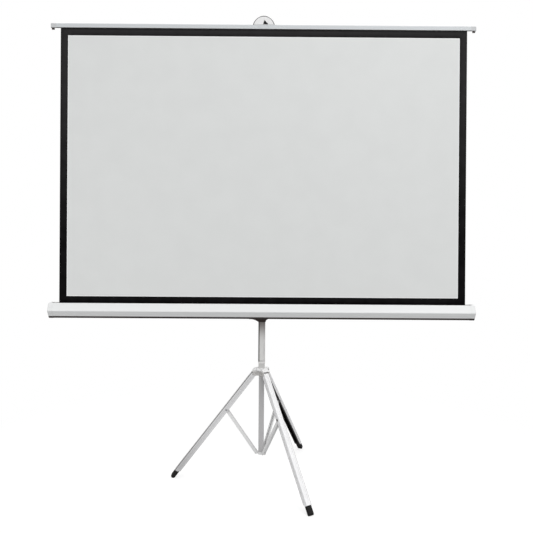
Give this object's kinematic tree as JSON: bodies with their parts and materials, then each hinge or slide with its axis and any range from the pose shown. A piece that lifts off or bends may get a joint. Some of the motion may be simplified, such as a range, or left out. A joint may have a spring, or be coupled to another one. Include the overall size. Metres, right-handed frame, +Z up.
{
  "type": "portable projection screen",
  "caption": "Projection screen on a folding tripod: white cloth with black border, spring roller casing, telescopic pole with hook, square mast and channel legs.",
  "frame": {"origin": "on the floor, on the mast's axis, under the middle of the object", "axes": "+Z up along the mast; the picture side faces -Y; +X to the viewer's right"},
  "size_m": [1.9464, 0.741, 2.143],
  "materials": {
    "painted_legs": "satin powder coat",
    "hub_metal": "satin powder coat",
    "mast_metal": "satin powder coat",
    "pole_steel": "satin",
    "pin_steel": "plated",
    "rubber_feet": "matt",
    "pale_plastic": "satin moulded",
    "dark_plastic": "matt moulded",
    "dark_metal": "satin",
    "casing_metal": "satin silver-white",
    "slat_metal": "satin",
    "roller_metal": "plain",
    "screen_fabric": "matt white coated",
    "border_fabric": "matt black print"
  },
  "bodies": {
    "post": {"post_tube": "mast_metal", "post_top_guide": "dark_plastic", "brace_bracket": "hub_metal", "brace_pivot_pins": "pin_steel"},
    "hub": {"tripod_hub": "hub_metal", "leg_pivot_pins": "pin_steel"},
    "left_leg": {"leg_left": "painted_legs", "foot_left": "rubber_feet", "brace_rivets_left": "pin_steel"},
    "left_brace": {"brace_left": "painted_legs", "brace_barrel_left": "pin_steel"},
    "front_leg": {"leg_front": "painted_legs", "foot_front": "rubber_feet", "brace_rivets_front": "pin_steel"},
    "front_brace": {"brace_front": "painted_legs", "brace_barrel_front": "pin_steel"},
    "rear_leg": {"leg_rear": "painted_legs", "foot_rear": "rubber_feet", "brace_rivets_rear": "pin_steel"},
    "rear_brace": {"brace_rear": "painted_legs", "brace_barrel_rear": "pin_steel"},
    "carriage": {"carriage_tube": "mast_metal", "carriage_rim": "pale_plastic", "height_knob_boss": "dark_plastic", "lower_pole_clamp": "dark_plastic", "case_bracket": "dark_metal", "tilt_lever_pin": "pin_steel"},
    "height_knob": {"height_knob": "dark_plastic"},
    "lower_pole_knob": {"lower_pole_knob": "dark_plastic"},
    "upper_pole_knob": {"upper_pole_knob": "dark_plastic"},
    "tilt_lever": {"tilt_lever": "dark_metal"},
    "case": {"casing_shell": "casing_metal", "casing_cap_left": "pale_plastic", "casing_cap_right": "pale_plastic", "cap_screws": "pin_steel", "case_saddle": "dark_metal", "saddle_screws": "pin_steel", "pivot_stud": "pin_steel", "spring_shaft": "pin_steel", "motor_spring": "pin_steel", "spring_anchor": "dark_plastic", "screen_cloth": "screen_fabric", "black_border": "border_fabric"},
    "roller": {"roller_tube": "roller_metal", "wound_cloth": "screen_fabric", "roller_plug_left": "dark_plastic", "roller_plug_right": "dark_plastic"},
    "lower_pole": {"lower_pole_tube": "pole_steel", "lower_pole_plug": "dark_plastic", "upper_pole_clamp": "dark_plastic"},
    "upper_pole": {"upper_pole_tube": "pole_steel", "upper_pole_plug": "dark_plastic", "pole_hook": "dark_plastic", "hook_peg": "pin_steel"},
    "slat": {"top_slat": "slat_metal", "slat_cap_left": "pale_plastic", "slat_cap_right": "pale_plastic", "hanger_tab": "pale_plastic", "tab_rivets": "pin_steel"}
  },
  "joints": [
    {"name": "hub_slide", "type": "slide", "parent": "post", "child": "hub", "axis": [0, 0, 1], "range_m": [0, 0.09143]},
    {"name": "leg_left_hinge", "type": "hinge", "parent": "hub", "child": "left_leg", "pos_m": [-0.026, 0, 0.498], "axis": [0, -1, 0], "range_deg": [0, 37.8]},
    {"name": "brace_left_hinge", "type": "hinge", "parent": "post", "child": "left_brace", "pos_m": [-0.024, 0, 0.121], "axis": [0, -1, 0], "range_deg": [-34.61, 0]},
    {"name": "leg_front_hinge", "type": "hinge", "parent": "hub", "child": "front_leg", "pos_m": [0.013, -0.02252, 0.498], "axis": [0.866, 0.5, 0], "range_deg": [0, 37.8]},
    {"name": "brace_front_hinge", "type": "hinge", "parent": "post", "child": "front_brace", "pos_m": [0.012, -0.02078, 0.121], "axis": [0.866, 0.5, 0], "range_deg": [-34.61, 0]},
    {"name": "leg_rear_hinge", "type": "hinge", "parent": "hub", "child": "rear_leg", "pos_m": [0.013, 0.02252, 0.498], "axis": [-0.866, 0.5, 0], "range_deg": [0, 37.8]},
    {"name": "brace_rear_hinge", "type": "hinge", "parent": "post", "child": "rear_brace", "pos_m": [0.012, 0.02078, 0.121], "axis": [-0.866, 0.5, 0], "range_deg": [-34.61, 0]},
    {"name": "case_height", "type": "slide", "parent": "hub", "child": "carriage", "axis": [0, 0, 1], "range_m": [0, 0.08]},
    {"name": "height_knob_turn", "type": "hinge", "parent": "carriage", "child": "height_knob", "pos_m": [0, 0.03, 0.592], "axis": [0, 1, 0], "range_deg": [0, 180]},
    {"name": "lower_pole_knob_turn", "type": "hinge", "parent": "carriage", "child": "lower_pole_knob", "pos_m": [0, 0.03, 0.816], "axis": [0, 1, 0], "range_deg": [0, 180]},
    {"name": "tilt_lever_turn", "type": "hinge", "parent": "carriage", "child": "tilt_lever", "pos_m": [-0.027, -0.0243, 0.757], "axis": [0, -1, 0], "range_deg": [0, 30]},
    {"name": "case_pivot", "type": "hinge", "parent": "carriage", "child": "case", "pos_m": [0, -0.03, 0.7745], "axis": [0, -1, 0], "range_deg": [0, 90]},
    {"name": "pole_lower", "type": "slide", "parent": "carriage", "child": "lower_pole", "axis": [0, 0, -1], "range_m": [0, 0.6249], "deforming": ["screen_cloth", "black_border"]},
    {"name": "pole_upper", "type": "slide", "parent": "lower_pole", "child": "upper_pole", "axis": [0, 0, -1], "range_m": [0, 0.6249]},
    {"name": "upper_pole_knob_turn", "type": "hinge", "parent": "lower_pole", "child": "upper_pole_knob", "pos_m": [0, 0.025, 1.4705], "axis": [0, 1, 0], "range_deg": [0, 180]},
    {"name": "screen_wind", "type": "slide", "parent": "case", "child": "slat", "axis": [0, 0, -1], "range_m": [0, 1.2498]},
    {"name": "roller_spin", "type": "hinge", "parent": "case", "child": "roller", "pos_m": [0, -0.06715, 0.795], "axis": [1, 0, 0], "range_deg": [0, 3528]}
  ],
  "couplings": [
    {"joint": "leg_left_hinge", "follows": "hub_slide", "rad_per_m": 7.2161},
    {"joint": "brace_left_hinge", "follows": "hub_slide", "rad_per_m": -6.6067},
    {"joint": "leg_front_hinge", "follows": "hub_slide", "rad_per_m": 7.2161},
    {"joint": "brace_front_hinge", "follows": "hub_slide", "rad_per_m": -6.6067},
    {"joint": "leg_rear_hinge", "follows": "hub_slide", "rad_per_m": 7.2161},
    {"joint": "brace_rear_hinge", "follows": "hub_slide", "rad_per_m": -6.6067},
    {"joint": "pole_upper", "follows": "pole_lower", "ratio": 1},
    {"joint": "screen_wind", "follows": "pole_lower", "ratio": 2},
    {"joint": "roller_spin", "follows": "pole_lower", "rad_per_m": 98.522}
  ]
}
